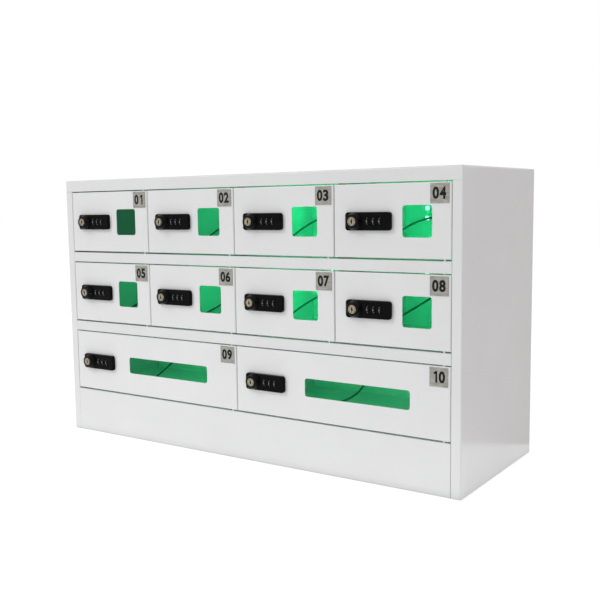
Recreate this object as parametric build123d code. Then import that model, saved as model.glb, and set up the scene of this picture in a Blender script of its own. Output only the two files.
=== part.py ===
from build123d import *
import math
import os

# A steel cabinet that charges phones and locks them up: ten inset doors in three rows.
# Millimetres. +X is to the right, +Y to the back and +Z up.
# The origin is the middle of the footprint, on the floor. The doors face -Y.

# ---- cabinet ----
cells = 4  # small doors in a row
small_rows = 2  # rows of small doors, above the one row of wide doors
wide_door_count = 2  # doors in the bottom row
cell_width = 168.0
stile_width = 14.0  # front frame at each side
depth = 260.0  # front face to the back of the sides
plinth_height = 71.0
opening_height = 100.0
rail_height = 15.5
header_height = 18.0
steel = 1.0  # sheet of the whole cabinet
bend_radius = 2.0  # outer bends of the shell
fold_radius = 1.2  # outer bends of the narrow folds
return_depth = 14.0  # frame edges folded back behind the front face
rear_flange = 12.0
service_depth = 44.0  # back of the sides to the inner wall's back
joint_gap = 0.2  # between sheets that are slipped together
seam = 0.3  # slit where the header meets a stile
strike_reach = 10.0  # divider's front fold, which the cam grips
strike_gap = 0.5  # strike to cam

# ---- doors ----
door_side_gap = 0.6  # door edge to cell edge
door_top_gap = 1.5  # door to the rail above
door_bottom_gap = 2.2  # door to the rail below
door_depth = 12.0
door_radius = 1.5
hinge_inset = 10.0  # pivot from the door's right edge
hinge_setback = 4.0  # pivot behind the front face
stud_radius = 2.0
stud_clearance = 0.05
stud_proud = 0.8  # stud end beyond the sheet that it turns in
stud_boss = 3.6  # radius of the weld boss inside the pan
stud_boss_length = 2.5

# ---- windows: cut-out sizes and their place in the door ----
small_window_width = 41.0
small_window_height = 41.0
small_window_left = 100.0  # door's left edge to cut-out
wide_window_width = 161.0
wide_window_height = 26.0
wide_window_left = 118.0
window_drop = 0.3  # cut-out's middle below the door opening's middle
window_corner = 4.0
pane_thickness = 2.0
pane_lap = 4.5  # pane beyond the cut-out, all round

# ---- combination lock ----
lock_left = 19.4  # door's left edge to the lock plate
lock_width = 66.2
lock_height = 24.0
lock_corner = 4.0
lock_proud = 5.5
lock_edge = 1.2
lock_rear_step = 3.3  # rear body inside the plate's ends
lock_rear_height = 18.4
lock_rear_depth = 15.2  # rear body behind the door's front face
lock_cutout_gap = 0.3
knob_from_end = 13.5  # knob axis from the plate's left end
knob_base_radius = 11.7
knob_face_radius = 9.0
knob_proud = 6.5  # grip in front of the plate
knob_gap = 0.3
knob_edge = 0.9
shaft_radius = 6.0
shaft_clearance = 0.1
stem_radius = 4.0  # threaded end that carries the cam
thread_clearance = 0.02
key_head_radius = 5.7
key_head_depth = 1.6
key_head_proud = 0.3
key_body_radius = 4.0
key_body_length = 18.0
key_clearance = 0.03
key_groove_radius = 4.6  # ring cut in the head
key_groove_width = 0.5
key_groove_depth = 0.5
key_slot_width = 1.6
key_slot_height = 6.0
key_slot_depth = 3.0
key_well_radius = 1.5  # round middle of the key's slot
cam_length = 30.0  # knob axis to the cam's tip
cam_width = 12.0
cam_thickness = 2.0
nut_flats = 13.0
nut_thickness = 4.0
stem_past_nut = 0.6
wheel_sides = 10
wheel_count = 3
wheel_radius = 7.5
wheel_width = 6.0
wheel_pitch = 9.0
first_wheel = 32.4  # first wheel's middle from the plate's left end
wheel_side_gap = 0.2
wheel_end_gap = 0.5
wheel_axis_depth = 6.5  # wheel axis behind the plate's front face
wheel_clearance = 0.05
axle_radius = 1.5
axle_seat = 1.5  # axle into the housing at each end
axle_clearance = 0.02

# ---- lights on the inner wall ----
light_from_wall = 37.0  # compartment's left wall to the strip's middle
wide_light_from_wall = 96.0
light_width = 8.0
light_bottom = 42.0  # above the compartment's floor
light_length = 50.0
light_board = 1.6
diode_size = 5.0
diode_depth = 1.4
diode_count = 3
diode_pitch = 15.0
diode_first = 7.0  # strip's lower end to the first diode's middle

# ---- charging leads ----
lead_diameter = 3.0
grommet_head_radius = 4.5
grommet_head_depth = 1.2
grommet_nose_radius = 2.6
grommet_proud = 3.0
grommet_neck_radius = 3.0
grommet_clearance = 0.1
grommet_tail = 2.0  # behind the inner wall
plug_width = 9.0
plug_thickness = 5.0
plug_length = 17.0
plug_corner = 1.2
relief_length = 6.0
relief_wall = 0.2  # relief around the lead at its thin end
relief_end_radius = 2.3
contact_width = 8.3
contact_thickness = 2.4
contact_length = 6.5
contact_corner = 1.15

# Routes in a compartment: right of its left wall, in front of the inner wall, above its floor.
small_route = [
    (60.0, grommet_proud, 52.0),
    (60.0, 17.0, 52.0),
    (51.0, 30.0, 46.0),
    (34.0, 42.0, 36.0),
    (18.0, 57.0, 24.0),
    (9.5, 78.0, 13.5),
    (7.5, 101.0, 6.0),
    (9.0, 125.0, 2.1),
    (10.0, 146.0, 2.5),
    (9.0, 164.0, 2.7),
]
lead_lifts = [0.0, 10.0, 12.0, 7.0, 0.0, -4.0, 5.0, -5.0]  # how much higher each small one lies
lift_shares = [0.0, 0.0, 0.5, 1.0, 1.0, 0.7, 0.3, 0.0, 0.0, 0.0]
left_wide_route = [
    (84.0, grommet_proud, 50.0),
    (84.0, 18.0, 50.0),
    (82.0, 34.0, 43.0),
    (79.0, 50.0, 34.0),
    (76.0, 66.0, 24.0),
    (73.0, 82.0, 14.5),
    (71.0, 97.0, 7.0),
    (70.5, 112.0, 3.2),
    (72.0, 126.0, 1.9),
    (77.0, 139.0, 1.9),
    (86.0, 149.0, 2.5),
    (97.0, 154.0, 2.7),
]
right_wide_route = [
    (113.0, grommet_proud, 48.0),
    (113.0, 14.0, 48.0),
    (114.5, 25.0, 43.0),
    (117.0, 33.0, 33.0),
    (117.5, 41.0, 22.0),
    (114.0, 52.0, 12.0),
    (108.0, 67.0, 5.0),
    (102.0, 85.0, 2.1),
    (98.0, 104.0, 1.8),
    (95.0, 123.0, 2.0),
    (91.0, 142.0, 2.5),
    (85.0, 158.0, 2.7),
]

# ---- rear cover and service space ----
cover_inset = 2.0  # cover edge inside the shell's outline
screw_radius = 2.0
screw_clearance = 0.05
screw_head_radius = 3.7
screw_head_height = 2.2
screw_edge = 0.9
recess_length = 4.2  # arms of the cross recess
recess_width = 0.9
recess_floor = 0.7  # steel left under the recess
screw_length = 7.0
screw_columns = 4
screw_rows = 3
slot_columns = 14
slot_pitch = 12.0
slot_width = 4.0
slot_length = 36.0
slot_end_flat = 0.05  # how much short of round the slots' ends are
slot_drop = 54.0  # top of the air slots below the cabinet's top
hub_width = 210.0
hub_height = 62.0
hub_depth = 32.0
hub_drop = 50.0  # hub's foot below the top row's floor
hub_corner = 3.0
driver_width = 96.0
driver_height = 40.0
driver_depth = 26.0
driver_gap = 24.0  # driver to the right of the hub
inlet_right = 250.0  # inlet's middle, right of the cabinet's middle
inlet_above = 44.0  # inlet's middle above the floor
inlet_width = 28.0
inlet_height = 20.0
inlet_depth = 20.0
inlet_flange = 2.5  # flange beyond the body, all round
inlet_flange_depth = 2.0
inlet_recess_width = 24.0
inlet_recess_height = 16.0
inlet_recess_depth = 15.0
inlet_corner = 2.0
inlet_gap = 0.3
pin_width = 4.0
pin_thickness = 2.0
pin_length = 12.0
pin_spacing = 7.0
pin_drop = 2.0  # outer pins below the middle one

# ---- places that follow ----
width = 2 * stile_width + cells * cell_width
rows = small_rows + 1
row_pitch = opening_height + rail_height
height = plinth_height + rows * opening_height + small_rows * rail_height + header_height
left = -width / 2
right = width / 2
front = -depth / 2
back = depth / 2
opening_left = left + stile_width
opening_right = right - stile_width
opening_top = height - header_height
wall_front = back - service_depth - steel  # compartments' side of the inner wall
strike_front = front + lock_rear_depth - steel
strike_back = strike_front + steel
cam_front = strike_back + strike_gap
deep = strike_front  # trays and base are full width behind this
past = 1.0  # how far a cutting solid runs past what it cuts
same_place = 0.01  # edges this near to a place lie on it


def block(x0, x1, y0, y1, z0, z1):
    """A box between two corners."""
    centre = Pos((x0 + x1) / 2, (y0 + y1) / 2, (z0 + z1) / 2)
    return centre * Box(x1 - x0, y1 - y0, z1 - z0)


def rod_x(radius, y, z, x0, x1):
    return Pos((x0 + x1) / 2, y, z) * Rot(0, 90, 0) * Cylinder(radius, x1 - x0)


def rod_y(radius, x, z, y0, y1):
    return Pos(x, (y0 + y1) / 2, z) * Rot(90, 0, 0) * Cylinder(radius, y1 - y0)


def rod_z(radius, x, y, z0, z1):
    return Pos(x, y, (z0 + z1) / 2) * Cylinder(radius, z1 - z0)


def rounded_plate(x, z, wide, high, corner, y0, y1):
    """A plate with rounded corners, square to Y, around the point x, z."""
    face = Plane(origin=(x, y1, z), x_dir=(1, 0, 0), z_dir=(0, -1, 0))
    return extrude(face * RectangleRounded(wide, high, corner), amount=y1 - y0)


def edges_near(solid, axis, **place):
    """The edges along an axis whose middle lies at the given X, Y or Z."""
    found = solid.edges().filter_by(axis)
    for letter, value in place.items():
        found = [e for e in found if abs(getattr(e.center(), letter) - value) < same_place]
    return found


def save(name, solids):
    export_step(Compound(solids), f"parts/{name}.step")


def row_floor(row):
    """Height of a row's floor. Row 0 is the top row."""
    return plinth_height + (rows - 1 - row) * row_pitch


def row_ceiling(row):
    """Underside of the sheet over a row's compartments."""
    if row == 0:
        return height - steel
    return row_floor(row - 1) - steel


def cell_edge(cell):
    return opening_left + cell * cell_width


def row_spans(row):
    """First cell and number of cells of each door in a row."""
    span = 1 if row < small_rows else cells // wide_door_count
    return [(cell, span) for cell in range(0, cells, span)]


doors = [(row, cell, span) for row in range(rows) for cell, span in row_spans(row)]


def hinge_x(cell, span):
    return cell_edge(cell + span) - door_side_gap - hinge_inset


hinge_y = front + hinge_setback


def stud_holes(row, z0, z1):
    """Holes for the pivot studs of a row's doors, through a sheet between two heights."""
    hole = stud_radius + stud_clearance
    return [rod_z(hole, hinge_x(c, s), hinge_y, z0 - past, z1 + past) for c, s in row_spans(row)]


def screw_places():
    """X and Z of the rear cover's screws, in the middle of the flanges."""
    side = width / 2 - steel - rear_flange / 2
    low = steel + rear_flange / 2
    high = height - steel - rear_flange / 2
    across = [-side + 2 * side * i / (screw_columns - 1) for i in range(screw_columns)]
    up = [low + (high - low) * i / (screw_rows - 1) for i in range(screw_rows)]
    places = [(x, z) for x in across for z in (low, high)]
    return places + [(x, z) for x in (-side, side) for z in up[1:-1]]


def screw_holes():
    hole = screw_radius + screw_clearance
    return [rod_y(hole, x, z, back - steel - past, back + steel + past) for x, z in screw_places()]


# ---- cabinet sheets ----
def side_region(outer, stile_edge):
    """Where one side sheet is, from its outer face to its stile's inner edge and up to the top bend."""
    bend_start = outer - math.copysign(bend_radius, outer)
    beyond = outer + math.copysign(past, outer)
    y0, y1 = front - past, back + past
    region = block(*sorted((bend_start, beyond)), y0, y1, -past, height - bend_radius)
    frame_top, flange_top = opening_top - seam, height - steel - rear_flange
    region += block(*sorted((stile_edge, beyond)), y0, deep, -past, frame_top)
    return region + block(*sorted((stile_edge, beyond)), deep, y1, -past, flange_top)


def outer_shell():
    """Top with its header, and the two sides with their stiles, welded flush along the top bend."""
    shell = block(left, right, front, back, 0, height)
    bends = edges_near(shell, Axis.Y, Z=height)
    bends += edges_near(shell, Axis.X, Y=front, Z=height)
    bends += edges_near(shell, Axis.Z, Y=front)
    shell = fillet(bends, bend_radius)
    inside = block(left + steel, right - steel, front + steel, back - steel, -past, height - steel)
    bends = edges_near(inside, Axis.Y, Z=height - steel)
    bends += edges_near(inside, Axis.X, Y=front + steel, Z=height - steel)
    bends += edges_near(inside, Axis.Z, Y=front + steel)
    shell -= fillet(bends, bend_radius - steel)
    rim = steel + rear_flange
    shell -= block(left + rim, right - rim, back - steel - past, back + past, -past, height - rim)
    shell -= block(opening_left, opening_right, front - past, front + steel + past, -past, opening_top)
    for x in (left + bend_radius, opening_right - past):
        slit = x + stile_width - bend_radius + past
        shell -= block(x, slit, front - past, front + steel, opening_top - seam, opening_top)
    return_end = front + return_depth
    stile_top = opening_top - seam
    shell += block(opening_left - steel, opening_left, front, return_end, 0, stile_top)
    shell += block(opening_right, opening_right + steel, front, return_end, 0, stile_top)
    inner_left, inner_right = opening_left + joint_gap, opening_right - joint_gap
    shell += block(inner_left, inner_right, front, return_end, opening_top, opening_top + steel)
    folds = edges_near(shell, Axis.Z, X=opening_left, Y=front)
    folds += edges_near(shell, Axis.Z, X=opening_right, Y=front)
    shell = fillet(folds, fold_radius)
    shell -= stud_holes(0, opening_top, opening_top + steel)
    shell -= screw_holes()
    edge = opening_right - steel / 2
    left_side, right_side = side_region(left, -edge), side_region(right, edge)
    return [shell - [left_side, right_side], shell & left_side, shell & right_side]


def plinth_pan():
    """Kick panel with the bottom compartments' floor above it and the base sheet below it."""
    inner_left, inner_right = opening_left + joint_gap, opening_right - joint_gap
    side_left, side_right = left + steel + joint_gap, right - steel - joint_gap
    flange_left, flange_right = left + steel + rear_flange, right - steel - rear_flange
    pan = block(inner_left, inner_right, front, front + steel, 0, plinth_height)
    for z0, y1 in ((0, back), (plinth_height - steel, wall_front + steel)):
        pan += block(inner_left, inner_right, front, deep, z0, z0 + steel)
        rear = y1 - steel if z0 == 0 else y1
        pan += block(side_left, side_right, deep, rear, z0, z0 + steel)
    flange = block(flange_left, flange_right, back - steel, back, 0, steel + rear_flange)
    pan += flange + block(flange_left, flange_right, back - 2 * steel, back, 0, steel)
    folds = edges_near(pan, Axis.X, Y=front, Z=0) + edges_near(pan, Axis.X, Y=front, Z=plinth_height)
    pan = fillet(folds, fold_radius)
    pan -= stud_holes(rows - 1, plinth_height - steel, plinth_height)
    return pan - screw_holes()


def shelf_tray(row):
    """Floor of a row, folded down at the front into the rail, with a return along its foot."""
    top = row_floor(row)
    foot = top - rail_height
    inner_left, inner_right = opening_left + joint_gap, opening_right - joint_gap
    tray = block(inner_left, inner_right, front, front + steel, foot, top)
    tray += block(inner_left, inner_right, front, front + return_depth, foot, foot + steel)
    tray += block(inner_left, inner_right, front, deep, top - steel, top)
    side_left, side_right = left + steel + joint_gap, right - steel - joint_gap
    tray += block(side_left, side_right, deep, wall_front, top - steel, top)
    folds = edges_near(tray, Axis.X, Y=front, Z=top) + edges_near(tray, Axis.X, Y=front, Z=foot)
    tray = fillet(folds, fold_radius)
    tray -= stud_holes(row, top - steel, top)
    return tray - stud_holes(row + 1, foot, foot + steel)


def divider_walls():
    """Walls between neighbouring compartments, and a strike angle at each row's left jamb."""
    walls = []
    for row, cell, span in doors:
        floor, ceiling = row_floor(row), row_ceiling(row)
        x = cell_edge(cell)
        if cell == 0:
            web_left, web_back = x - 2 * steel, strike_back
            web_front = front + bend_radius + joint_gap
        else:
            web_left, web_back = x - steel / 2, wall_front
            web_front = strike_front
        strike_end = x + strike_reach
        wall = block(web_left, web_left + steel, web_front, web_back, floor, ceiling)
        wall += block(web_left, strike_end, strike_front, strike_back, floor, ceiling)
        walls.append(wall)
    return walls


def inner_back_wall():
    wall = block(
        left + steel + joint_gap,
        right - steel - joint_gap,
        wall_front,
        wall_front + steel,
        plinth_height,
        height - steel - joint_gap,
    )
    corners = edges_near(wall, Axis.Y, Z=height - steel - joint_gap)
    wall = fillet(corners, bend_radius - steel)
    for row, cell, span in doors:
        x, y, z = lead_points(row, cell, span)[0]
        hole = grommet_neck_radius + grommet_clearance
        wall -= rod_y(hole, x, z, wall_front - past, wall_front + steel + past)
    return wall


# ---- doors, windows and locks ----
def door_box(row, cell, span):
    """Left, right, bottom and top of a door."""
    x0 = cell_edge(cell) + door_side_gap
    x1 = cell_edge(cell + span) - door_side_gap
    floor = row_floor(row)
    return x0, x1, floor + door_bottom_gap, floor + opening_height - door_top_gap


def opening_middle(row):
    return row_floor(row) + opening_height / 2


def window_place(row, cell, span):
    """Middle of a door's cut-out in X and Z, then its width and height."""
    x0, x1, z0, z1 = door_box(row, cell, span)
    z = opening_middle(row) - window_drop
    if span == 1:
        x = x0 + small_window_left + small_window_width / 2
        return x, z, small_window_width, small_window_height
    x = x0 + wide_window_left + wide_window_width / 2
    return x, z, wide_window_width, wide_window_height


def lock_place(row, cell, span):
    """Left end of a door's lock plate, and its middle height."""
    x0, x1, z0, z1 = door_box(row, cell, span)
    return x0 + lock_left, opening_middle(row)


def rear_body(x, z, gap):
    """The part of a lock behind its plate, or with a gap the cut-out that it passes through."""
    half = lock_rear_height / 2 + gap
    x0, x1 = x + lock_rear_step - gap, x + lock_width - lock_rear_step + gap
    return block(x0, x1, front - past * (gap > 0), front + lock_rear_depth, z - half, z + half)


def door(row, cell, span):
    """Folded pan with its window and lock cut-outs, and a pivot stud above and below."""
    x0, x1, z0, z1 = door_box(row, cell, span)
    pan = block(x0, x1, front, front + door_depth, z0, z1)
    bends = edges_near(pan, Axis.X, Y=front) + edges_near(pan, Axis.Z, Y=front)
    pan = fillet(bends, door_radius)
    hollow_back = front + door_depth + past
    pan -= block(x0 + steel, x1 - steel, front + steel, hollow_back, z0 + steel, z1 - steel)
    x, z, wide, high = window_place(row, cell, span)
    pan -= rounded_plate(x, z, wide, high, window_corner, front - past, front + steel + past)
    pan -= rear_body(*lock_place(row, cell, span), lock_cutout_gap)
    x = hinge_x(cell, span)
    for edge, way, gap in ((z0, -1, door_bottom_gap), (z1, 1, door_top_gap)):
        inside = edge - way * (steel + stud_boss_length)
        inner, outer = sorted((inside, edge + way * (gap + steel + stud_proud)))
        pan += rod_z(stud_radius, x, hinge_y, inner, outer)
        inner, outer = sorted((inside, edge - way * steel))
        boss = rod_z(stud_boss, x, hinge_y, inner, outer)
        pan += boss & block(x0, x1, front + steel, front + door_depth, z0, z1)
    return pan


def window(row, cell, span):
    x, z, wide, high = window_place(row, cell, span)
    wide += 2 * pane_lap
    high += 2 * pane_lap
    y0 = front + steel
    return rounded_plate(x, z, wide, high, window_corner, y0, y0 + pane_thickness)


def wheel_centres(x):
    return [x + first_wheel + i * wheel_pitch for i in range(wheel_count)]


wheel_y = front - lock_proud + wheel_axis_depth


def lock_body(row, cell, span):
    """Housing with the knob's bore and a pocket for each wheel, and the wheels' axle."""
    x, z = lock_place(row, cell, span)
    middle = x + lock_width / 2
    face = front - lock_proud
    housing = rounded_plate(middle, z, lock_width, lock_height, lock_corner, face, front)
    rim = [e for e in housing.edges() if abs(e.center().Y - face) < same_place]
    housing = fillet(rim, lock_edge) + rear_body(x, z, 0)
    bore = shaft_radius + shaft_clearance
    rear = front + lock_rear_depth
    housing -= rod_y(bore, x + knob_from_end, z, face - past, rear + past)
    pocket = wheel_radius + wheel_end_gap
    half = wheel_width / 2 + wheel_side_gap
    for centre in wheel_centres(x):
        housing -= rod_x(pocket, wheel_y, z, centre - half, centre + half)
    first, last = wheel_centres(x)[0] - half - axle_seat, wheel_centres(x)[-1] + half + axle_seat
    housing -= rod_x(axle_radius + axle_clearance, wheel_y, z, first, last)
    return [housing, rod_x(axle_radius, wheel_y, z, first, last)]


def lock_dials(row, cell, span):
    """Three ten-sided wheels on the axle, each with one flat to the front."""
    x, z = lock_place(row, cell, span)
    wheels = []
    for centre in wheel_centres(x):
        side = Plane(origin=(centre - wheel_width / 2, wheel_y, z), x_dir=(0, -1, 0), z_dir=(1, 0, 0))
        outline = Rot(0, 0, 180 / wheel_sides) * RegularPolygon(wheel_radius, wheel_sides)
        wheel = extrude(side * outline, amount=wheel_width)
        bore = axle_radius + wheel_clearance
        wheels.append(wheel - rod_x(bore, wheel_y, z, centre - wheel_width, centre + wheel_width))
    return wheels


def lock_knob(row, cell, span):
    """Grip with its shaft, key plug, cam and nut. The cam hangs down, which is unlocked."""
    plate_left, z = lock_place(row, cell, span)
    x = plate_left + knob_from_end
    base = front - lock_proud - knob_gap
    face = front - lock_proud - knob_proud
    cone = Cone(knob_base_radius, knob_face_radius, base - face)
    grip = Pos(x, (base + face) / 2, z) * Rot(90, 0, 0) * cone
    grip = fillet([e for e in grip.edges() if abs(e.center().Y - face) < same_place], knob_edge)
    stem_end = cam_front + cam_thickness + nut_thickness + stem_past_nut
    grip += rod_y(shaft_radius, x, z, base, cam_front)
    grip += rod_y(stem_radius, x, z, cam_front, stem_end)
    head_back = face + key_head_depth
    body_back = face + key_body_length
    grip -= rod_y(key_head_radius + key_clearance, x, z, face - past, head_back)
    grip -= rod_y(key_body_radius + key_clearance, x, z, head_back, body_back)
    head_front = face - key_head_proud
    key_plug = rod_y(key_head_radius, x, z, head_front, head_back)
    key_plug += rod_y(key_body_radius, x, z, head_back, body_back)
    groove_floor = head_front + key_groove_depth
    outer, inner = key_groove_radius + key_groove_width / 2, key_groove_radius - key_groove_width / 2
    ring = rod_y(outer, x, z, head_front - past, groove_floor)
    key_plug -= ring - rod_y(inner, x, z, head_front - 2 * past, groove_floor + past)
    slot_half = key_slot_width / 2
    slot_back = head_front + key_slot_depth
    low, high = z - key_slot_height / 2, z + key_slot_height / 2
    key_plug -= block(x - slot_half, x + slot_half, head_front - past, slot_back, low, high)
    key_plug -= rod_y(key_well_radius, x, z, head_front - past, slot_back)
    cam_back = cam_front + cam_thickness
    cam = rod_y(cam_width / 2, x, z, cam_front, cam_back)
    tip = z - cam_length + cam_width / 2
    cam += block(x - cam_width / 2, x + cam_width / 2, cam_front, cam_back, tip, z)
    cam += rod_y(cam_width / 2, x, tip, cam_front, cam_back)
    cam -= rod_y(stem_radius + thread_clearance, x, z, cam_front - past, cam_back + past)
    nut_face = Plane(origin=(x, cam_back + nut_thickness, z), x_dir=(1, 0, 0), z_dir=(0, -1, 0))
    nut = extrude(nut_face * RegularPolygon(nut_flats / 2, 6, major_radius=False), amount=nut_thickness)
    nut -= rod_y(stem_radius + thread_clearance, x, z, cam_back - past, stem_end + past)
    return [grip, key_plug, cam, nut]


# ---- lights and charging leads ----
def light_strip(row, cell, span):
    """A board with its diodes."""
    x = cell_edge(cell) + (light_from_wall if span == 1 else wide_light_from_wall)
    z0 = row_floor(row) + light_bottom
    face = wall_front - light_board
    half = light_width / 2
    parts = [block(x - half, x + half, face, wall_front, z0, z0 + light_length)]
    half = diode_size / 2
    for i in range(diode_count):
        z = z0 + diode_first + i * diode_pitch
        parts.append(block(x - half, x + half, face - diode_depth, face, z - half, z + half))
    return parts


def lead_points(row, cell, span):
    """A lead's route in the cabinet's own axes."""
    x0, y0, z0 = cell_edge(cell), wall_front, row_floor(row)
    if span == 1:
        lift = lead_lifts[row * cells + cell]
        lifts = [lift * share for share in lift_shares]
        return [Vector(x0 + x, y0 - y, z0 + z + up) for (x, y, z), up in zip(small_route, lifts)]
    route = left_wide_route if cell == 0 else right_wide_route
    return [Vector(x0 + x, y0 - y, z0 + z) for x, y, z in route]


def lead_radii(points):
    """The largest arc that the two runs at each corner leave room for."""
    radii = []
    for before, here, after in zip(points, points[1:], points[2:]):
        arriving, leaving = here - before, after - here
        turn = math.radians(arriving.get_angle(leaving))
        radii.append(0.45 * min(arriving.length, leaving.length) / math.tan(turn / 2))
    return radii


def charging_lead(row, cell, span):
    """A round tube along straight runs joined by tangent arcs."""
    points = lead_points(row, cell, span)
    path = FilletPolyline(*points, radius=lead_radii(points))
    start = Plane(origin=points[0], z_dir=points[1] - points[0])
    tube = sweep(start * Circle(lead_diameter / 2), path=path)
    expected = math.pi * lead_diameter**2 / 4 * path.length
    return tube, path.length, tube.volume / expected


def grommet(row, cell, span):
    """Rubber bush that carries the lead through the inner wall, with a tapered nose."""
    x, face, z = lead_points(row, cell, span)[0]
    head_front = wall_front - grommet_head_depth
    nose = Cone(grommet_head_radius * 0.8, grommet_nose_radius, head_front - face)
    bush = Pos(x, (face + head_front) / 2, z) * Rot(90, 0, 0) * nose
    bush += rod_y(grommet_head_radius, x, z, head_front, wall_front)
    bush += rod_y(grommet_neck_radius, x, z, wall_front, wall_front + steel)
    tail_back = wall_front + steel + grommet_tail
    return bush + rod_y(grommet_head_radius * 0.85, x, z, wall_front + steel, tail_back)


def lead_plug(row, cell, span):
    """Moulded plug with its strain relief, and its metal contact, at the lead's free end."""
    points = lead_points(row, cell, span)
    way = (points[-1] - points[-2]).normalized()
    end = Plane(origin=points[-1], x_dir=way.cross(Vector(0, 0, 1)), z_dir=way)
    relief = Cone(lead_diameter / 2 + relief_wall, relief_end_radius, relief_length)
    body = end * (Pos(0, 0, relief_length / 2) * relief)
    outline = RectangleRounded(plug_width, plug_thickness, plug_corner)
    grip = extrude(outline, amount=plug_length)
    body += end * (Pos(0, 0, relief_length) * grip)
    contact_start = relief_length + plug_length
    outline = RectangleRounded(contact_width, contact_thickness, contact_corner)
    shell = extrude(outline, amount=contact_length)
    return [body, end * (Pos(0, 0, contact_start) * shell)]


# ---- rear cover and service space ----
def rear_cover():
    """Flat cover over the service space, with air slots, the inlet's cut-out and its screws."""
    x0, x1 = left + cover_inset, right - cover_inset
    cover = block(x0, x1, back, back + steel, cover_inset, height - cover_inset)
    start = -(slot_columns - 1) * slot_pitch / 2
    slots = []
    for i in range(slot_columns):
        x = start + i * slot_pitch
        z = height - slot_drop - slot_length / 2
        corner = slot_width / 2 - slot_end_flat
        slots.append(
            rounded_plate(x, z, slot_width, slot_length, corner, back - past, back + steel + past)
        )
    cover -= slots
    cover -= screw_holes()
    wide, high = inlet_width + 2 * inlet_gap, inlet_height + 2 * inlet_gap
    cover -= rounded_plate(
        inlet_right, inlet_above, wide, high, inlet_corner, back - past, back + steel + past
    )
    solids = [cover]
    for x, z in screw_places():
        outer = back + steel
        head = rod_y(screw_head_radius, x, z, outer, outer + screw_head_height)
        rim = [e for e in head.edges() if abs(e.center().Y - outer - screw_head_height) < same_place]
        head = fillet(rim, screw_edge)
        recess_back, recess_front = outer + screw_head_height + past, outer + recess_floor
        arm, half = recess_length / 2, recess_width / 2
        head -= block(x - arm, x + arm, recess_front, recess_back, z - half, z + half)
        head -= block(x - half, x + half, recess_front, recess_back, z - arm, z + arm)
        solids.append(head + rod_y(screw_radius, x, z, outer - screw_length, outer))
    return solids


def power_module():
    """Charging hub and light driver on the inner wall's back, and the mains inlet."""
    y0 = wall_front + steel
    hub_bottom = row_floor(0) - hub_drop
    hub = rounded_plate(
        0, hub_bottom + hub_height / 2, hub_width, hub_height, hub_corner, y0, y0 + hub_depth
    )
    driver_left = hub_width / 2 + driver_gap
    driver = rounded_plate(
        driver_left + driver_width / 2,
        hub_bottom + driver_height / 2,
        driver_width,
        driver_height,
        hub_corner,
        y0,
        y0 + driver_depth,
    )
    x, z = inlet_right, inlet_above
    outer = back + steel
    face = outer + inlet_flange_depth
    wide, high = inlet_width + 2 * inlet_flange, inlet_height + 2 * inlet_flange
    inlet = rounded_plate(x, z, wide, high, inlet_corner, outer, face)
    inlet += rounded_plate(x, z, inlet_width, inlet_height, inlet_corner, outer - inlet_depth, outer)
    floor = face - inlet_recess_depth
    inlet -= rounded_plate(
        x, z, inlet_recess_width, inlet_recess_height, inlet_corner, floor, face + past
    )
    for step, drop in ((-1, pin_drop), (0, -pin_drop), (1, pin_drop)):
        px, pz = x + step * pin_spacing, z - drop
        half_wide, half_high = pin_thickness / 2, pin_width / 2
        tip = floor + pin_length
        inlet += block(px - half_wide, px + half_wide, floor, tip, pz - half_high, pz + half_high)
    return [hub, driver, inlet]


os.makedirs("parts", exist_ok=True)

save("outer_shell", outer_shell())
save("plinth_pan", [plinth_pan()])
save("shelf_trays", [shelf_tray(row) for row in range(small_rows)])
save("divider_walls", divider_walls())
save("inner_back_wall", [inner_back_wall()])
save("rear_cover", rear_cover())
save("power_module", power_module())
save("led_strips", [part for place in doors for part in light_strip(*place)])

leads = [charging_lead(*place) for place in doors]
save("charging_leads", [tube for tube, length, ratio in leads])
fittings = [grommet(*place) for place in doors]
fittings += [part for place in doors for part in lead_plug(*place)]
save("lead_fittings", fittings)

for number, place in enumerate(doors, 1):
    save(f"door_{number:02d}", [door(*place)])
    save(f"window_{number:02d}", [window(*place)])
    save(f"lock_body_{number:02d}", lock_body(*place))
    save(f"lock_knob_{number:02d}", lock_knob(*place))
    save(f"lock_dials_{number:02d}", lock_dials(*place))

for number, (place, lead) in enumerate(zip(doors, leads), 1):
    tightest = min(lead_radii(lead_points(*place)))
    sizes = round(lead[1], 1), "volume ratio", round(lead[2], 4), "tightest", round(tightest, 1)
    print("lead", number, "length", *sizes)
print("cabinet", width, depth, height)
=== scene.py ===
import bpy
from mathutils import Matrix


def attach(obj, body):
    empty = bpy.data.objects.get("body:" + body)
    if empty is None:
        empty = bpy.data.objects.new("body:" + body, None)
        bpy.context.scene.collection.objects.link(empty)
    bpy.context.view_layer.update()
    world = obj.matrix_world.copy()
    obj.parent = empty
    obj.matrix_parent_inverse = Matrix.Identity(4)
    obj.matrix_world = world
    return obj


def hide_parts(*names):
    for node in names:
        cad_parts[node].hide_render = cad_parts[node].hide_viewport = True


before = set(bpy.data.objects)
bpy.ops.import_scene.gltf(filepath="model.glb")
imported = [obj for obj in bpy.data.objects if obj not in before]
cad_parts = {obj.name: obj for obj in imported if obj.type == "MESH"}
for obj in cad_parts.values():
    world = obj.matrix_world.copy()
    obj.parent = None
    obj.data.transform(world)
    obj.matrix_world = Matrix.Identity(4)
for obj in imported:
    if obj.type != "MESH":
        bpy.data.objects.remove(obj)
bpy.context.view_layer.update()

import math
import bpy
import bmesh
from mathutils import Matrix, Vector

# A steel cabinet with ten lit, locked compartments for charging phones.
# Metres, +X to the right, +Z up, and the doors face -Y.

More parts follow.
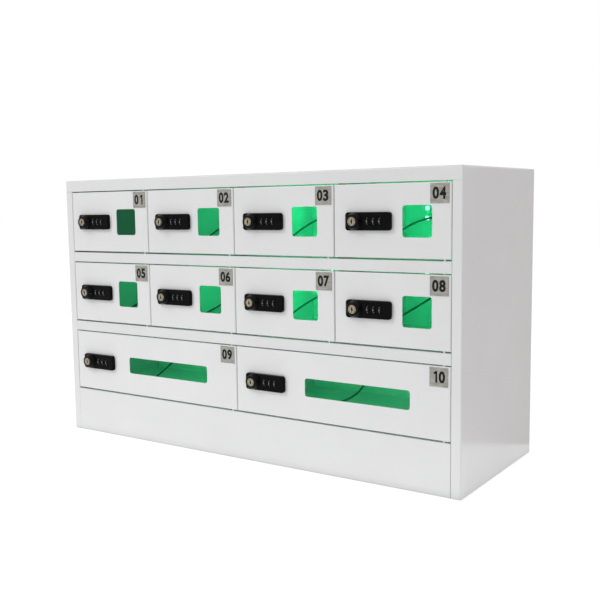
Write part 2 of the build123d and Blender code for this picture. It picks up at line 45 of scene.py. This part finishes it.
cabinet = {
    "cells": 4,  # small compartments side by side
    "firstEdge": -0.336,  # left wall of the first compartment
    "cellWidth": 0.168,
    "floors": (0.302, 0.1865, 0.071),
    "innerWall": 0.085,  # front face of the wall that carries the lights
    "front": -0.130,
    "openingHeight": 0.100,
    "doorSideGap": 0.0006,
    "doorTopGap": 0.0015,
    "doorBottomGap": 0.0022,
    "hingeInset": 0.0106,  # pivot from the compartment's right edge
    "hingeSetback": 0.004,
    "studReach": 0.0025,
}
# row, cell and cells wide, from 01 to 10
compartments = [(row, cell, 1) for row in (0, 1) for cell in range(cabinet["cells"])]
compartments += [(2, 0, 2), (2, 2, 2)]


def edgeOf(cell):
    return cabinet["firstEdge"] + cell * cabinet["cellWidth"]


def floorOf(row):
    return cabinet["floors"][row]


def doorLeft(cell):
    return edgeOf(cell) + cabinet["doorSideGap"]


def doorRight(cell, span):
    return edgeOf(cell + span) - cabinet["doorSideGap"]


def doorTop(row):
    return floorOf(row) + cabinet["openingHeight"] - cabinet["doorTopGap"]


def doorBottom(row):
    return floorOf(row) + cabinet["doorBottomGap"]


def openingMiddle(row):
    return floorOf(row) + cabinet["openingHeight"] / 2


# camera
photoCamera = {
    "place": (0.7756, -1.1560, 0.3781),
    "turn": 0.6253,  # radians round Z, from straight in front
    "rise": 0.1128,
    "roll": -0.018,
    "lens": 53.06,
    "shift": (0.0755, 0.0055),
    "clipStart": 0.01,
}


def placeCamera(values):
    turn, rise, roll = values["turn"], values["rise"], values["roll"]
    flat = math.cos(rise)
    back = Vector((math.sin(turn) * flat, -math.cos(turn) * flat, math.sin(rise)))
    levelRight = (-back).cross(Vector((0, 0, 1))).normalized()
    levelUp = levelRight.cross(-back)
    right = math.cos(roll) * levelRight + math.sin(roll) * levelUp
    up = math.cos(roll) * levelUp - math.sin(roll) * levelRight
    bpy.ops.object.camera_add()
    camera = bpy.context.object
    camera.name = "photoCamera"
    turned = Matrix((right, up, back)).transposed().to_4x4()
    camera.matrix_world = Matrix.Translation(values["place"]) @ turned
    camera.data.lens = values["lens"]
    camera.data.sensor_fit = "HORIZONTAL"
    camera.data.shift_x, camera.data.shift_y = values["shift"]
    camera.data.clip_start = values["clipStart"]
    bpy.context.scene.camera = camera


placeCamera(photoCamera)
print("camera placed")


# finishes
finishPattern = {
    "patchDetail": 4,
    "grainDetail": 2,
    "rampEnds": (0.36, 0.64),  # where the noise turns from the darker to the lighter colour
    "glossEnds": (0.3, 0.7),
}


def addNoise(nodes, links, where, scale, detail):
    noise = nodes.new("ShaderNodeTexNoise")
    noise.inputs["Scale"].default_value = scale
    noise.inputs["Detail"].default_value = detail
    links.new(where, noise.inputs["Vector"])
    return noise.outputs["Fac"]


def makeFinish(name, dark, light, roughness, patch, grain, depth, stretch=(1, 1, 1), **sockets):
    # Two close colours in soft patches, uneven gloss and a fine relief, on Object coordinates.
    material = bpy.data.materials.new(name)
    material.use_nodes = True
    nodes, links = material.node_tree.nodes, material.node_tree.links
    shader = nodes["Principled BSDF"]
    where = nodes.new("ShaderNodeTexCoord")
    scaled = nodes.new("ShaderNodeMapping")
    scaled.inputs["Scale"].default_value = stretch
    links.new(where.outputs["Object"], scaled.inputs["Vector"])
    place = scaled.outputs["Vector"]

    patches = addNoise(nodes, links, place, patch, finishPattern["patchDetail"])
    ramp = nodes.new("ShaderNodeValToRGB")
    for end, colour in enumerate((dark, light)):
        ramp.color_ramp.elements[end].position = finishPattern["rampEnds"][end]
        ramp.color_ramp.elements[end].color = (*colour, 1)
    links.new(patches, ramp.inputs["Fac"])
    links.new(ramp.outputs["Color"], shader.inputs["Base Color"])

    gloss = nodes.new("ShaderNodeMapRange")
    for end, limit in enumerate(("Min", "Max")):
        gloss.inputs["From " + limit].default_value = finishPattern["glossEnds"][end]
        gloss.inputs["To " + limit].default_value = roughness[end]
    links.new(patches, gloss.inputs["Value"])
    links.new(gloss.outputs["Result"], shader.inputs["Roughness"])

    relief = addNoise(nodes, links, place, grain, finishPattern["grainDetail"])
    bump = nodes.new("ShaderNodeBump")
    bump.inputs["Strength"].default_value = 1
    bump.inputs["Distance"].default_value = depth
    links.new(relief, bump.inputs["Height"])
    links.new(bump.outputs["Normal"], shader.inputs["Normal"])
    for socket, value in sockets.items():
        shader.inputs[socket.replace("_", " ")].default_value = value
    return material


cabinetWhite = makeFinish(
    "cabinetPowderCoat", (0.780, 0.783, 0.787), (0.800, 0.803, 0.807), (0.13, 0.19),
    patch=9, grain=620, depth=0.000018,
)
doorWhite = makeFinish(
    "doorPowderCoat", (0.788, 0.791, 0.796), (0.808, 0.811, 0.816), (0.18, 0.26),
    patch=14, grain=620, depth=0.000018,
)
trayWhite = makeFinish(
    "trayPowderCoat", (0.765, 0.770, 0.775), (0.790, 0.795, 0.800), (0.40, 0.52),
    patch=11, grain=560, depth=0.00002,
)
# Painted shade: the shell's inner faces get a darker and matt white than the outside, so the gaps
# round the doors read darker.
shellInsidePaintedShade = makeFinish(
    "insideMattPaintedShade", (0.70, 0.705, 0.71), (0.73, 0.735, 0.74), (0.70, 0.85),
    patch=11, grain=560, depth=0.00002, Specular_IOR_Level=0.05,
)
paneClear = makeFinish(
    "clearAcrylic", (0.80, 0.97, 0.93), (0.83, 0.99, 0.95), (0.02, 0.05),
    patch=40, grain=35, depth=0.000003, Transmission_Weight=1.0, IOR=1.07,
)
lockBlack = makeFinish(
    "lockBlackGloss", (0.0020, 0.0020, 0.0022), (0.0034, 0.0034, 0.0037), (0.22, 0.34),
    patch=120, grain=1500, depth=0.000006, Specular_IOR_Level=0.05,
)
knobBlack = makeFinish(
    "knobBlackSatin", (0.0020, 0.0020, 0.0023), (0.0034, 0.0034, 0.0038), (0.22, 0.34),
    patch=160, grain=1800, depth=0.000007, Specular_IOR_Level=0.10,
)
wheelBlack = makeFinish(
    "wheelBlackMatt", (0.0022, 0.0022, 0.0025), (0.0036, 0.0036, 0.0040), (0.34, 0.46),
    patch=220, grain=2200, depth=0.000006, Specular_IOR_Level=0.06,
)
keyNickel = makeFinish(
    "keyPlugNickel", (0.24, 0.21, 0.145), (0.42, 0.375, 0.28), (0.24, 0.40),
    patch=330, grain=2600, depth=0.000008, Metallic=1.0,
)
# Painted shade: the key's slot, centre well and ring groove are coloured near black for the shade
# inside these cuts.
keyCutPaintedShade = makeFinish(
    "keyCutPaintedShadeMetal", (0.020, 0.018, 0.015), (0.045, 0.040, 0.032), (0.40, 0.55),
    patch=420, grain=2600, depth=0.000005, Metallic=0.6,
)
zincSteel = makeFinish(
    "zincSteel", (0.42, 0.43, 0.44), (0.60, 0.61, 0.62), (0.28, 0.44),
    patch=160, grain=1500, depth=0.000008, Metallic=1.0,
)
diodeBoard = makeFinish(
    "lightBoardWhite", (0.70, 0.73, 0.71), (0.76, 0.79, 0.77), (0.35, 0.45),
    patch=90, grain=900, depth=0.000005,
)
diodeLit = makeFinish(
    "diodeGreenLit", (0.10, 0.70, 0.30), (0.20, 0.90, 0.45), (0.25, 0.40),
    patch=400, grain=900, depth=0.000005,
    Emission_Color=(0.42, 1.0, 0.80, 1), Emission_Strength=1.9,
)
leadBlack = makeFinish(
    "leadBlackSheath", (0.095, 0.095, 0.098), (0.125, 0.125, 0.129), (0.38, 0.50),
    patch=150, grain=1600, depth=0.00001,
)
rubberBlack = makeFinish(
    "plugBlackMoulded", (0.014, 0.014, 0.015), (0.024, 0.024, 0.025), (0.45, 0.60),
    patch=180, grain=1400, depth=0.000015,
)
moduleBlack = makeFinish(
    "moduleBlackCase", (0.020, 0.020, 0.021), (0.032, 0.032, 0.033), (0.48, 0.62),
    patch=60, grain=900, depth=0.00003,
)
plateMetal = makeFinish(
    "plateBrushedMetal", (0.26, 0.254, 0.225), (0.38, 0.372, 0.335), (0.34, 0.50),
    patch=420, grain=1500, depth=0.000006, stretch=(0.25, 1, 1), Metallic=0.35,
)
plateInk = makeFinish(
    "plateBlackInk", (0.006, 0.006, 0.006), (0.010, 0.010, 0.010), (0.42, 0.55),
    patch=300, grain=1800, depth=0.000004, Specular_IOR_Level=0.15,
)
dialInk = makeFinish(
    "dialPaleInk", (0.22, 0.22, 0.23), (0.28, 0.28, 0.29), (0.45, 0.60),
    patch=500, grain=2500, depth=0.000004,
)
print("finishes made")


# charging leads
chargingLead = {
    "diameter": 0.003,
    "roundness": 4,
    "lineSteps": 10,
    "lengths": (0.1904, 0.1911, 0.1916, 0.1905, 0.1904, 0.1910, 0.1903, 0.1912, 0.1744, 0.1763),
    # right of the compartment's left wall, in front of the inner wall, above its floor
    "smallRoute": [
        (0.0600, 0.0030, 0.0520),
        (0.0600, 0.0170, 0.0520),
        (0.0510, 0.0300, 0.0460),
        (0.0340, 0.0420, 0.0360),
        (0.0180, 0.0570, 0.0240),
        (0.0095, 0.0780, 0.0135),
        (0.0075, 0.1010, 0.0060),
        (0.0090, 0.1250, 0.0021),
        (0.0100, 0.1460, 0.0025),
        (0.0090, 0.1640, 0.0027),
    ],
    "lifts": (0, 0.010, 0.012, 0.007, 0, -0.004, 0.005, -0.005),  # how much higher each lies
    "liftShares": (0, 0, 0.5, 1, 1, 0.7, 0.3, 0, 0, 0),
    "leftWideRoute": [
        (0.0840, 0.0030, 0.0500),
        (0.0840, 0.0180, 0.0500),
        (0.0820, 0.0340, 0.0430),
        (0.0790, 0.0500, 0.0340),
        (0.0760, 0.0660, 0.0240),
        (0.0730, 0.0820, 0.0145),
        (0.0710, 0.0970, 0.0070),
        (0.0705, 0.1120, 0.0032),
        (0.0720, 0.1260, 0.0019),
        (0.0770, 0.1390, 0.0019),
        (0.0860, 0.1490, 0.0025),
        (0.0970, 0.1540, 0.0027),
    ],
    "rightWideRoute": [
        (0.1130, 0.0030, 0.0480),
        (0.1130, 0.0140, 0.0480),
        (0.1145, 0.0250, 0.0430),
        (0.1170, 0.0330, 0.0330),
        (0.1175, 0.0410, 0.0220),
        (0.1140, 0.0520, 0.0120),
        (0.1080, 0.0670, 0.0050),
        (0.1020, 0.0850, 0.0021),
        (0.0980, 0.1040, 0.0018),
        (0.0950, 0.1230, 0.0020),
        (0.0910, 0.1420, 0.0025),
        (0.0850, 0.1580, 0.0027),
    ],
}


def leadRoute(row, cell, span):
    values = chargingLead
    if span == 2:
        points = values["leftWideRoute" if cell == 0 else "rightWideRoute"]
    else:
        lift = values["lifts"][row * cabinet["cells"] + cell]
        shares = values["liftShares"]
        points = [(x, y, z + lift * up) for (x, y, z), up in zip(values["smallRoute"], shares)]
    wall = cabinet["innerWall"]
    return [Vector((edgeOf(cell) + x, wall - y, floorOf(row) + z)) for x, y, z in points]


def layLead(number, row, cell, span):
    route = leadRoute(row, cell, span)
    name = "chargingLead_%02d" % number
    line = bpy.data.curves.new(name, "CURVE")
    line.dimensions = "3D"
    line.bevel_depth = chargingLead["diameter"] / 2
    line.bevel_resolution = chargingLead["roundness"]
    line.use_fill_caps = True
    spline = line.splines.new("NURBS")
    spline.points.add(len(route) - 1)
    for point, place in zip(spline.points, route):
        point.co = (*place, 1)
    spline.order_u = 3
    spline.use_endpoint_u = True
    spline.resolution_u = chargingLead["lineSteps"]
    lead = bpy.data.objects.new(name, line)
    bpy.context.scene.collection.objects.link(lead)
    line.materials.append(leadBlack)
    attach(lead, "cabinet")
    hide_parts("charging_leads")


for number, place in enumerate(compartments, 1):
    layLead(number, *place)
print("leads laid")


# finishes of the cabinet's own pieces
hair = 0.00002  # so that a face right at a limit falls on the wanted side


def coat(node, material):
    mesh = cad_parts[node].data
    mesh.materials.clear()
    mesh.materials.append(material)
    return mesh


def recoat(mesh, material, wanted):
    # Give one more finish to the faces whose middles are wanted.
    mesh.materials.append(material)
    for face in mesh.polygons:
        if wanted(face.center):
            face.material_index = len(mesh.materials) - 1


coat("plinth_pan", cabinetWhite)
for node in ("shelf_trays", "divider_walls", "inner_back_wall"):
    coat(node, trayWhite)

shellInside = {"front": -0.1295, "half": 0.3495, "top": 0.4195}


def insideShell(place):
    within = abs(place.x) < shellInside["half"] and place.z < shellInside["top"]
    return within and place.y > shellInside["front"]


# The shell's inner faces get the darker white: painted shade where they show in the gaps round
# the doors.
recoat(coat("outer_shell", cabinetWhite), shellInsidePaintedShade, insideShell)

rearCover = {"outer": 0.1311}  # the screws' heads lie beyond it


def onScrew(place):
    return place.y > rearCover["outer"]


recoat(coat("rear_cover", cabinetWhite), zincSteel, onScrew)

lightStrip = {"boardFront": 0.0834}


def onDiode(place):
    return place.y < lightStrip["boardFront"] - hair


recoat(coat("led_strips", diodeBoard), diodeLit, onDiode)

# a plug's bare contact, measured from its lead's end
plugContact = {"start": 0.02305, "end": 0.0305, "sideReach": 0.006}


def onContact(place):
    for row, cell, span in compartments:
        route = leadRoute(row, cell, span)
        way = (route[-1] - route[-2]).normalized()
        along = (place - route[-1]).dot(way)
        aside = (place - route[-1] - along * way).length
        within = plugContact["start"] < along < plugContact["end"]
        if within and aside < plugContact["sideReach"]:
            return True
    return False


recoat(coat("lead_fittings", rubberBlack), zincSteel, onContact)

powerInlet = {
    "x": 0.250,
    "z": 0.044,
    "pinsWide": 0.0105,
    "pinsHigh": 0.006,
    "pinEnds": (0.1155, 0.1295),
}


def onPin(place):
    beside = abs(place.x - powerInlet["x"]) < powerInlet["pinsWide"]
    level = abs(place.z - powerInlet["z"]) < powerInlet["pinsHigh"]
    back, tip = powerInlet["pinEnds"]
    return beside and level and back < place.y < tip


recoat(coat("power_module", moduleBlack), zincSteel, onPin)

lock = {
    "left": 0.0194,  # door's left edge to the lock plate
    "knobFromEnd": 0.0135,
    "keyBack": -0.1404,
    "keyRadius": 0.00572,
    "cuts": (-0.14227, -0.139),  # front and back of the cuts in the key's face
    "groove": (0.0043, 0.0049),
    "slotHalf": (0.0009, 0.0031),
    "slotWell": 0.00155,
    "camFront": -0.1145,
    "wheelAxis": -0.129,
    "axleRadius": 0.0017,
}


def coatDoor(number, row, cell, span):
    hinge = edgeOf(cell + span) - cabinet["hingeInset"]
    low, high = doorBottom(row) - hair, doorTop(row) + hair
    axisY = cabinet["front"] + cabinet["hingeSetback"]

    def onStud(place):
        beyond = place.z < low or place.z > high
        aside = math.hypot(place.x - hinge, place.y - axisY)
        return beyond and aside < cabinet["studReach"]

    recoat(coat("door_" + number, doorWhite), zincSteel, onStud)
    coat("window_" + number, paneClear)


def coatLock(number, row, cell):
    middle = openingMiddle(row)
    knobX = doorLeft(cell) + lock["left"] + lock["knobFromEnd"]

    def onAxle(place):
        return math.hypot(place.y - lock["wheelAxis"], place.z - middle) < lock["axleRadius"]

    def onKey(place):
        aside = math.hypot(place.x - knobX, place.z - middle)
        return place.y < lock["keyBack"] and aside < lock["keyRadius"]

    def inKeyCuts(place):
        aside = math.hypot(place.x - knobX, place.z - middle)
        inGroove = lock["groove"][0] < aside < lock["groove"][1]
        halfWide, halfHigh = lock["slotHalf"]
        inSlot = abs(place.x - knobX) < halfWide and abs(place.z - middle) < halfHigh
        cut = inGroove or inSlot or aside < lock["slotWell"]
        return cut and lock["cuts"][0] < place.y < lock["cuts"][1]

    recoat(coat("lock_body_" + number, lockBlack), zincSteel, onAxle)
    knob = coat("lock_knob_" + number, knobBlack)
    recoat(knob, keyNickel, onKey)
    # painted shade in the key's slot, centre well and ring groove
    recoat(knob, keyCutPaintedShade, inKeyCuts)
    recoat(knob, zincSteel, lambda place: place.y > lock["camFront"])
    coat("lock_dials_" + number, wheelBlack)


for number, (row, cell, span) in enumerate(compartments, 1):
    coatDoor("%02d" % number, row, cell, span)
    coatLock("%02d" % number, row, cell)
print("cabinet coated")


# shaping tools
def deselectAll():
    bpy.ops.object.select_all(action="DESELECT")


def pick(piece, kind, wanted):
    # Select edges by their direction, or faces by their normal, in edit mode.
    bpy.ops.mesh.select_mode(type=kind)
    bpy.ops.mesh.select_all(action="DESELECT")
    shape = bmesh.from_edit_mesh(piece.data)
    for part in shape.edges if kind == "EDGE" else shape.faces:
        if kind == "EDGE":
            start, end = (corner.co for corner in part.verts)
            way = (end - start).normalized()
        else:
            way = part.normal
        if wanted(way):
            part.select_set(True)
    bmesh.update_edit_mesh(piece.data)


def ownCopy(piece, name):
    copy = piece.copy()
    copy.data = piece.data.copy()
    copy.name = copy.data.name = name
    bpy.context.scene.collection.objects.link(copy)
    return copy


def meshBox(piece):
    places = [v.co for v in piece.data.vertices]
    low = Vector([min(p[k] for p in places) for k in range(3)])
    high = Vector([max(p[k] for p in places) for k in range(3)])
    return low, high


def fitDigit(digit, size):
    # Centre a digit, with its back on the origin's plane, and fit it to a width, rise and height.
    low, high = meshBox(digit)
    grow = [size[k] / (high[k] - low[k]) for k in range(3)]
    back = Vector(((low.x + high.x) / 2, high.y, (low.z + high.z) / 2))
    digit.data.transform(Matrix.Diagonal((*grow, 1)) @ Matrix.Translation(-back))


def addBlock(size, place=(0, 0, 0), turn=0):
    deselectAll()
    bpy.ops.mesh.primitive_cube_add(size=1, location=place, rotation=(0, turn, 0), scale=size)
    bpy.ops.object.transform_apply(location=True, rotation=True, scale=True)
    return bpy.context.object


def joinPieces(name, pieces):
    deselectAll()
    for piece in pieces:
        piece.select_set(True)
    bpy.context.view_layer.objects.active = pieces[0]
    bpy.ops.object.join()
    joined = bpy.context.object
    joined.name = joined.data.name = name
    return joined


# shares of a digit's width and height
oneShape = {
    "width": 0.62,
    "aside": 0.06,
    "barWidth": 0.52,
    "flagTurn": -0.66,  # radians
    "flagSize": (0.896, 0.16),
    "flagPlace": (-0.36, 0.36),
}


def makeOne(size):
    # A bar with a slanting flag at its top left, because the plain font's one is a bare bar.
    wide, rise, high = oneShape["width"] * size[0], size[1], size[2]
    x, z = oneShape["flagPlace"]
    flagLong, flagHigh = oneShape["flagSize"]
    bar = addBlock((oneShape["barWidth"] * wide, rise, high))
    flagSize = (flagLong * wide, rise, flagHigh * high)
    flag = addBlock(flagSize, (x * wide, 0, z * high), oneShape["flagTurn"])
    digit = joinPieces("digitOne", [bar, flag])
    fitDigit(digit, (wide, rise, high))
    digit.data.transform(Matrix.Translation((oneShape["aside"] * size[0], 0, 0)))
    return digit


def writeDigit(character, values):
    # One raised digit as a mesh, facing -Y and centred on the origin.
    if character == "1":
        return makeOne(values["digit"])
    deselectAll()
    bpy.ops.object.text_add()
    writing = bpy.context.object
    writing.data.body = character
    writing.data.offset = values["swell"]
    writing.data.extrude = 0.1  # any depth will do, because the digit is fitted to its size
    writing.data.resolution_u = values["curveSteps"]
    bpy.ops.object.convert(target="MESH")
    digit = bpy.context.object
    digit.data.transform(Matrix.Rotation(math.pi / 2, 4, "X"))
    digit.data.materials.clear()
    fitDigit(digit, values["digit"])
    return digit


# number plates
numberPlate = {
    "width": 0.0250,
    "height": 0.0249,
    "thickness": 0.0008,
    "corner": 0.0005,
    "cornerSteps": 4,
    "edge": 0.00015,
    "edgeRise": 0.00009,
    "rightGap": 0.0033,
    "topGap": 0.0015,
    "digit": (0.0087, 0.00006, 0.0153),  # width, rise and height
    "digitPitch": 0.0095,
    "digitsAside": (-0.0003, 0.0003),  # their middle from the plate's middle
    "swell": 0.042,
    "curveSteps": 5,
}
straight = 0.9  # how much of an edge or a normal lies along Y


def makeBlankPlate(values):
    blank = addBlock((values["width"], values["thickness"], values["height"]))
    bpy.ops.object.mode_set(mode="EDIT")
    pick(blank, "EDGE", lambda way: abs(way.y) > straight)
    bpy.ops.mesh.bevel(offset=values["corner"], segments=values["cornerSteps"], affect="EDGES")
    pick(blank, "FACE", lambda way: way.y < -straight)
    bpy.ops.mesh.inset(thickness=values["edge"], depth=0)
    bpy.ops.mesh.select_mode(type="FACE")
    bpy.ops.transform.translate(value=(0, -values["edgeRise"], 0))
    bpy.ops.object.mode_set(mode="OBJECT")
    blank.data.materials.append(plateMetal)
    return blank


def fixPlates(values):
    blank = makeBlankPlate(values)
    half = values["thickness"] / 2
    face = -half - values["edgeRise"]
    aside, above = values["digitsAside"]
    for number, (row, cell, span) in enumerate(compartments, 1):
        words = "%02d" % number
        parts = [ownCopy(blank, "numberPlate_" + words)]
        for side, character in zip((-0.5, 0.5), words):
            digit = writeDigit(character, values)
            x = aside + side * values["digitPitch"]
            digit.data.transform(Matrix.Translation((x, face, above)))
            digit.data.materials.append(plateInk)
            parts.append(digit)
        plate = joinPieces("numberPlate_" + words, parts)
        x = doorRight(cell, span) - values["rightGap"] - values["width"] / 2
        z = doorTop(row) - values["topGap"] - values["height"] / 2
        plate.data.transform(Matrix.Translation((x, cabinet["front"] - half, z)))
        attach(plate, "door_" + words)
    bpy.data.objects.remove(blank)


fixPlates(numberPlate)
print("number plates fixed")


# digits on the combination wheels
dialDigits = {
    "flat": 0.00713,  # wheel's axis to a flat
    "sides": 10,
    "firstWheel": 0.0518,  # door's left edge to the first wheel
    "pitch": 0.009,
    "wheels": 3,
    "digit": (0.0020, 0.00005, 0.0040),
    "swell": 0.020,
    "curveSteps": 1,
    "shown": (0, 0, 0),  # digit in front on each wheel
}


def makeDialDigits(values):
    # The thirty digits of one lock, round an axis through the origin.
    marks = []
    for wheel in range(values["wheels"]):
        aside = values["firstWheel"] + wheel * values["pitch"]
        for side in range(values["sides"]):
            character = str((values["shown"][wheel] + side) % values["sides"])
            mark = writeDigit(character, values)
            turn = Matrix.Rotation(side * 2 * math.pi / values["sides"], 4, "X")
            mark.data.transform(turn @ Matrix.Translation((aside, -values["flat"], 0)))
            marks.append(mark)
    joined = joinPieces("dialDigits", marks)
    joined.data.materials.clear()
    joined.data.materials.append(dialInk)
    return joined


def fixDialDigits(values):
    pattern = makeDialDigits(values)
    for number, (row, cell, span) in enumerate(compartments, 1):
        words = "%02d" % number
        digits = ownCopy(pattern, "dialDigits_" + words)
        place = (doorLeft(cell), lock["wheelAxis"], openingMiddle(row))
        digits.data.transform(Matrix.Translation(place))
        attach(digits, "dials_" + words)
    bpy.data.objects.remove(pattern)


fixDialDigits(dialDigits)
print("dial digits fixed")


# light in the compartments
compartmentLight = {
    "colour": (0.002, 1.0, 0.29),
    "stripPower": 0.015,
    "fillPower": 0.080,
    # brightness of each compartment, from 01 to 10
    "share": (0.14, 0.57, 1.15, 1.00, 0.42, 0.66, 1.05, 0.68, 0.42, 0.40),
    "stripX": (0.037, 0.096),  # small and wide compartments
    "stripZ": 0.067,
    "stripFront": 0.0812,
    "stripSize": (0.008, 0.045),
    "fillFront": -0.095,
    "fillZ": 0.045,
    "fillHeight": 0.05,
    "fillMargin": 0.02,
    "spread": 2.1,  # radians
}


def hangPanel(name, power, size, place, turn):
    # A rectangular light that isn't seen itself. Unturned, it shines down.
    bpy.ops.object.light_add(type="AREA", location=place, rotation=(turn, 0, 0))
    lamp = bpy.context.object
    lamp.name = name
    lamp.data.shape = "RECTANGLE"
    lamp.data.size, lamp.data.size_y = size
    lamp.data.energy = power
    lamp.visible_camera = lamp.visible_transmission = lamp.visible_glossy = False
    return lamp


def lightCompartment(values, index, row, cell, span):
    # The strip's own light, and the light that the door's white back returns to the inner wall.
    words, share = "%02d" % (index + 1), values["share"][index]
    left, floor = edgeOf(cell), floorOf(row)
    place = (left + values["stripX"][span - 1], values["stripFront"], floor + values["stripZ"])
    power = values["stripPower"] * share
    strip = hangPanel("stripLight_" + words, power, values["stripSize"], place, -math.pi / 2)
    wide = span * cabinet["cellWidth"]
    size = (wide - 2 * values["fillMargin"], values["fillHeight"])
    place = (left + wide / 2, values["fillFront"], floor + values["fillZ"])
    power = values["fillPower"] * share * span
    fill = hangPanel("fillLight_" + words, power, size, place, math.pi / 2)
    for lamp in (strip, fill):
        lamp.data.color = values["colour"]
        lamp.data.spread = values["spread"]


for index, place in enumerate(compartments):
    lightCompartment(compartmentLight, index, *place)
print("compartments lit")


# studio
studio = {
    "ambient": 0.56,
    "floorColour": 0.92,
    "floorGlow": 0.50,
    "floorSize": 30,
    "floorTop": -0.0002,
    "key": {"power": 26.0, "size": 1.3, "place": (-1.3, -2.0, 2.0), "aim": (0, -0.13, 0.2)},
    "side": {"power": 2.2, "size": 0.8, "place": (1.6, 0.35, 0.55), "aim": (0.35, 0, 0.21)},
    # light that the white floor returns to the front and to the right side
    "frontBounce": {"power": 0.36, "size": (0.90, 0.38), "place": (0, -0.325, 0.002)},
    "sideBounce": {"power": 0.08, "size": (0.36, 0.50), "place": (0.535, 0, 0.002)},
}
# a dim wall behind the cabinet, seen only where the glossy right side mirrors it
dimWall = {
    "colour": (0.38, 0.29, 0.27),
    "ends": ((0.340, 0.181), (1.60, -0.498)),
    "height": 0.43,
}


def seenBackground(nodes, links):
    # One where the background is seen directly, mirrored or through glass.
    path = nodes.new("ShaderNodeLightPath")
    total = path.outputs["Is Camera Ray"]
    for ray in ("Is Glossy Ray", "Is Transmission Ray"):
        adding = nodes.new("ShaderNodeMath")
        adding.operation = "ADD"
        adding.use_clamp = True
        links.new(total, adding.inputs[0])
        links.new(path.outputs[ray], adding.inputs[1])
        total = adding.outputs["Value"]
    return total


def lightWorld(values):
    world = bpy.data.worlds.new("studioWorld")
    bpy.context.scene.world = world
    world.use_nodes = True
    nodes, links = world.node_tree.nodes, world.node_tree.links
    background = nodes["Background"]
    background.inputs["Color"].default_value = (1, 1, 1, 1)
    strength = nodes.new("ShaderNodeMapRange")
    strength.inputs["To Min"].default_value = values["ambient"]
    strength.inputs["To Max"].default_value = 1
    links.new(seenBackground(nodes, links), strength.inputs["Value"])
    links.new(strength.outputs["Result"], background.inputs["Strength"])


def makeGlowing(name, colour, glow):
    # A matt material that shines by itself.
    material = bpy.data.materials.new(name)
    material.use_nodes = True
    shader = material.node_tree.nodes["Principled BSDF"]
    shader.inputs["Base Color"].default_value = (*colour, 1)
    shader.inputs["Roughness"].default_value = 1
    shader.inputs["Specular IOR Level"].default_value = 0
    shader.inputs["Emission Color"].default_value = (*glow, 1)
    shader.inputs["Emission Strength"].default_value = 1
    return material


def layFloor(values):
    deselectAll()
    place = (0, 0, values["floorTop"])
    bpy.ops.mesh.primitive_plane_add(size=values["floorSize"], location=place)
    ground = bpy.context.object
    ground.name = "studioFloor"
    grey = values["floorColour"]
    material = makeGlowing("studioFloorPale", (grey, grey, grey), (1, 1, 1))
    nodes, links = material.node_tree.nodes, material.node_tree.links
    shader = nodes["Principled BSDF"]
    glow = nodes.new("ShaderNodeMath")
    glow.operation = "MULTIPLY"
    glow.inputs[1].default_value = values["floorGlow"]
    links.new(seenBackground(nodes, links), glow.inputs[0])
    links.new(glow.outputs["Value"], shader.inputs["Emission Strength"])
    ground.data.materials.append(material)


def standDimWall(values):
    deselectAll()
    bpy.ops.mesh.primitive_plane_add(size=1)
    wall = bpy.context.object
    wall.name = "dimWall"
    start, end = (Vector(place) for place in values["ends"])
    along = end - start
    wall.scale = (along.length, values["height"], 1)
    wall.rotation_euler = (math.pi / 2, 0, math.atan2(along.y, along.x))
    middle = (start + end) / 2
    wall.location = (middle.x, middle.y, values["height"] / 2)
    wall.data.materials.append(makeGlowing("dimWallWarmGrey", (0, 0, 0), values["colour"]))
    wall.visible_camera = wall.visible_diffuse = False
    wall.visible_transmission = wall.visible_shadow = False


def hangLight(name, power, size, place, aim):
    # A soft square light that looks at its aim.
    bpy.ops.object.light_add(type="AREA", location=place)
    lamp = bpy.context.object
    lamp.name = name
    lamp.data.size = size
    lamp.data.energy = power
    lamp.visible_camera = False
    lamp.rotation_euler = (Vector(aim) - Vector(place)).to_track_quat("-Z", "Y").to_euler()


lightWorld(studio)
layFloor(studio)
standDimWall(dimWall)
hangLight("softKeyLight", **studio["key"])
hangLight("softSideLight", **studio["side"])
for bounce in ("frontBounce", "sideBounce"):
    hangPanel(bounce, turn=math.pi, **studio[bounce])
bpy.context.scene.view_settings.view_transform = "Standard"
print("studio lit")
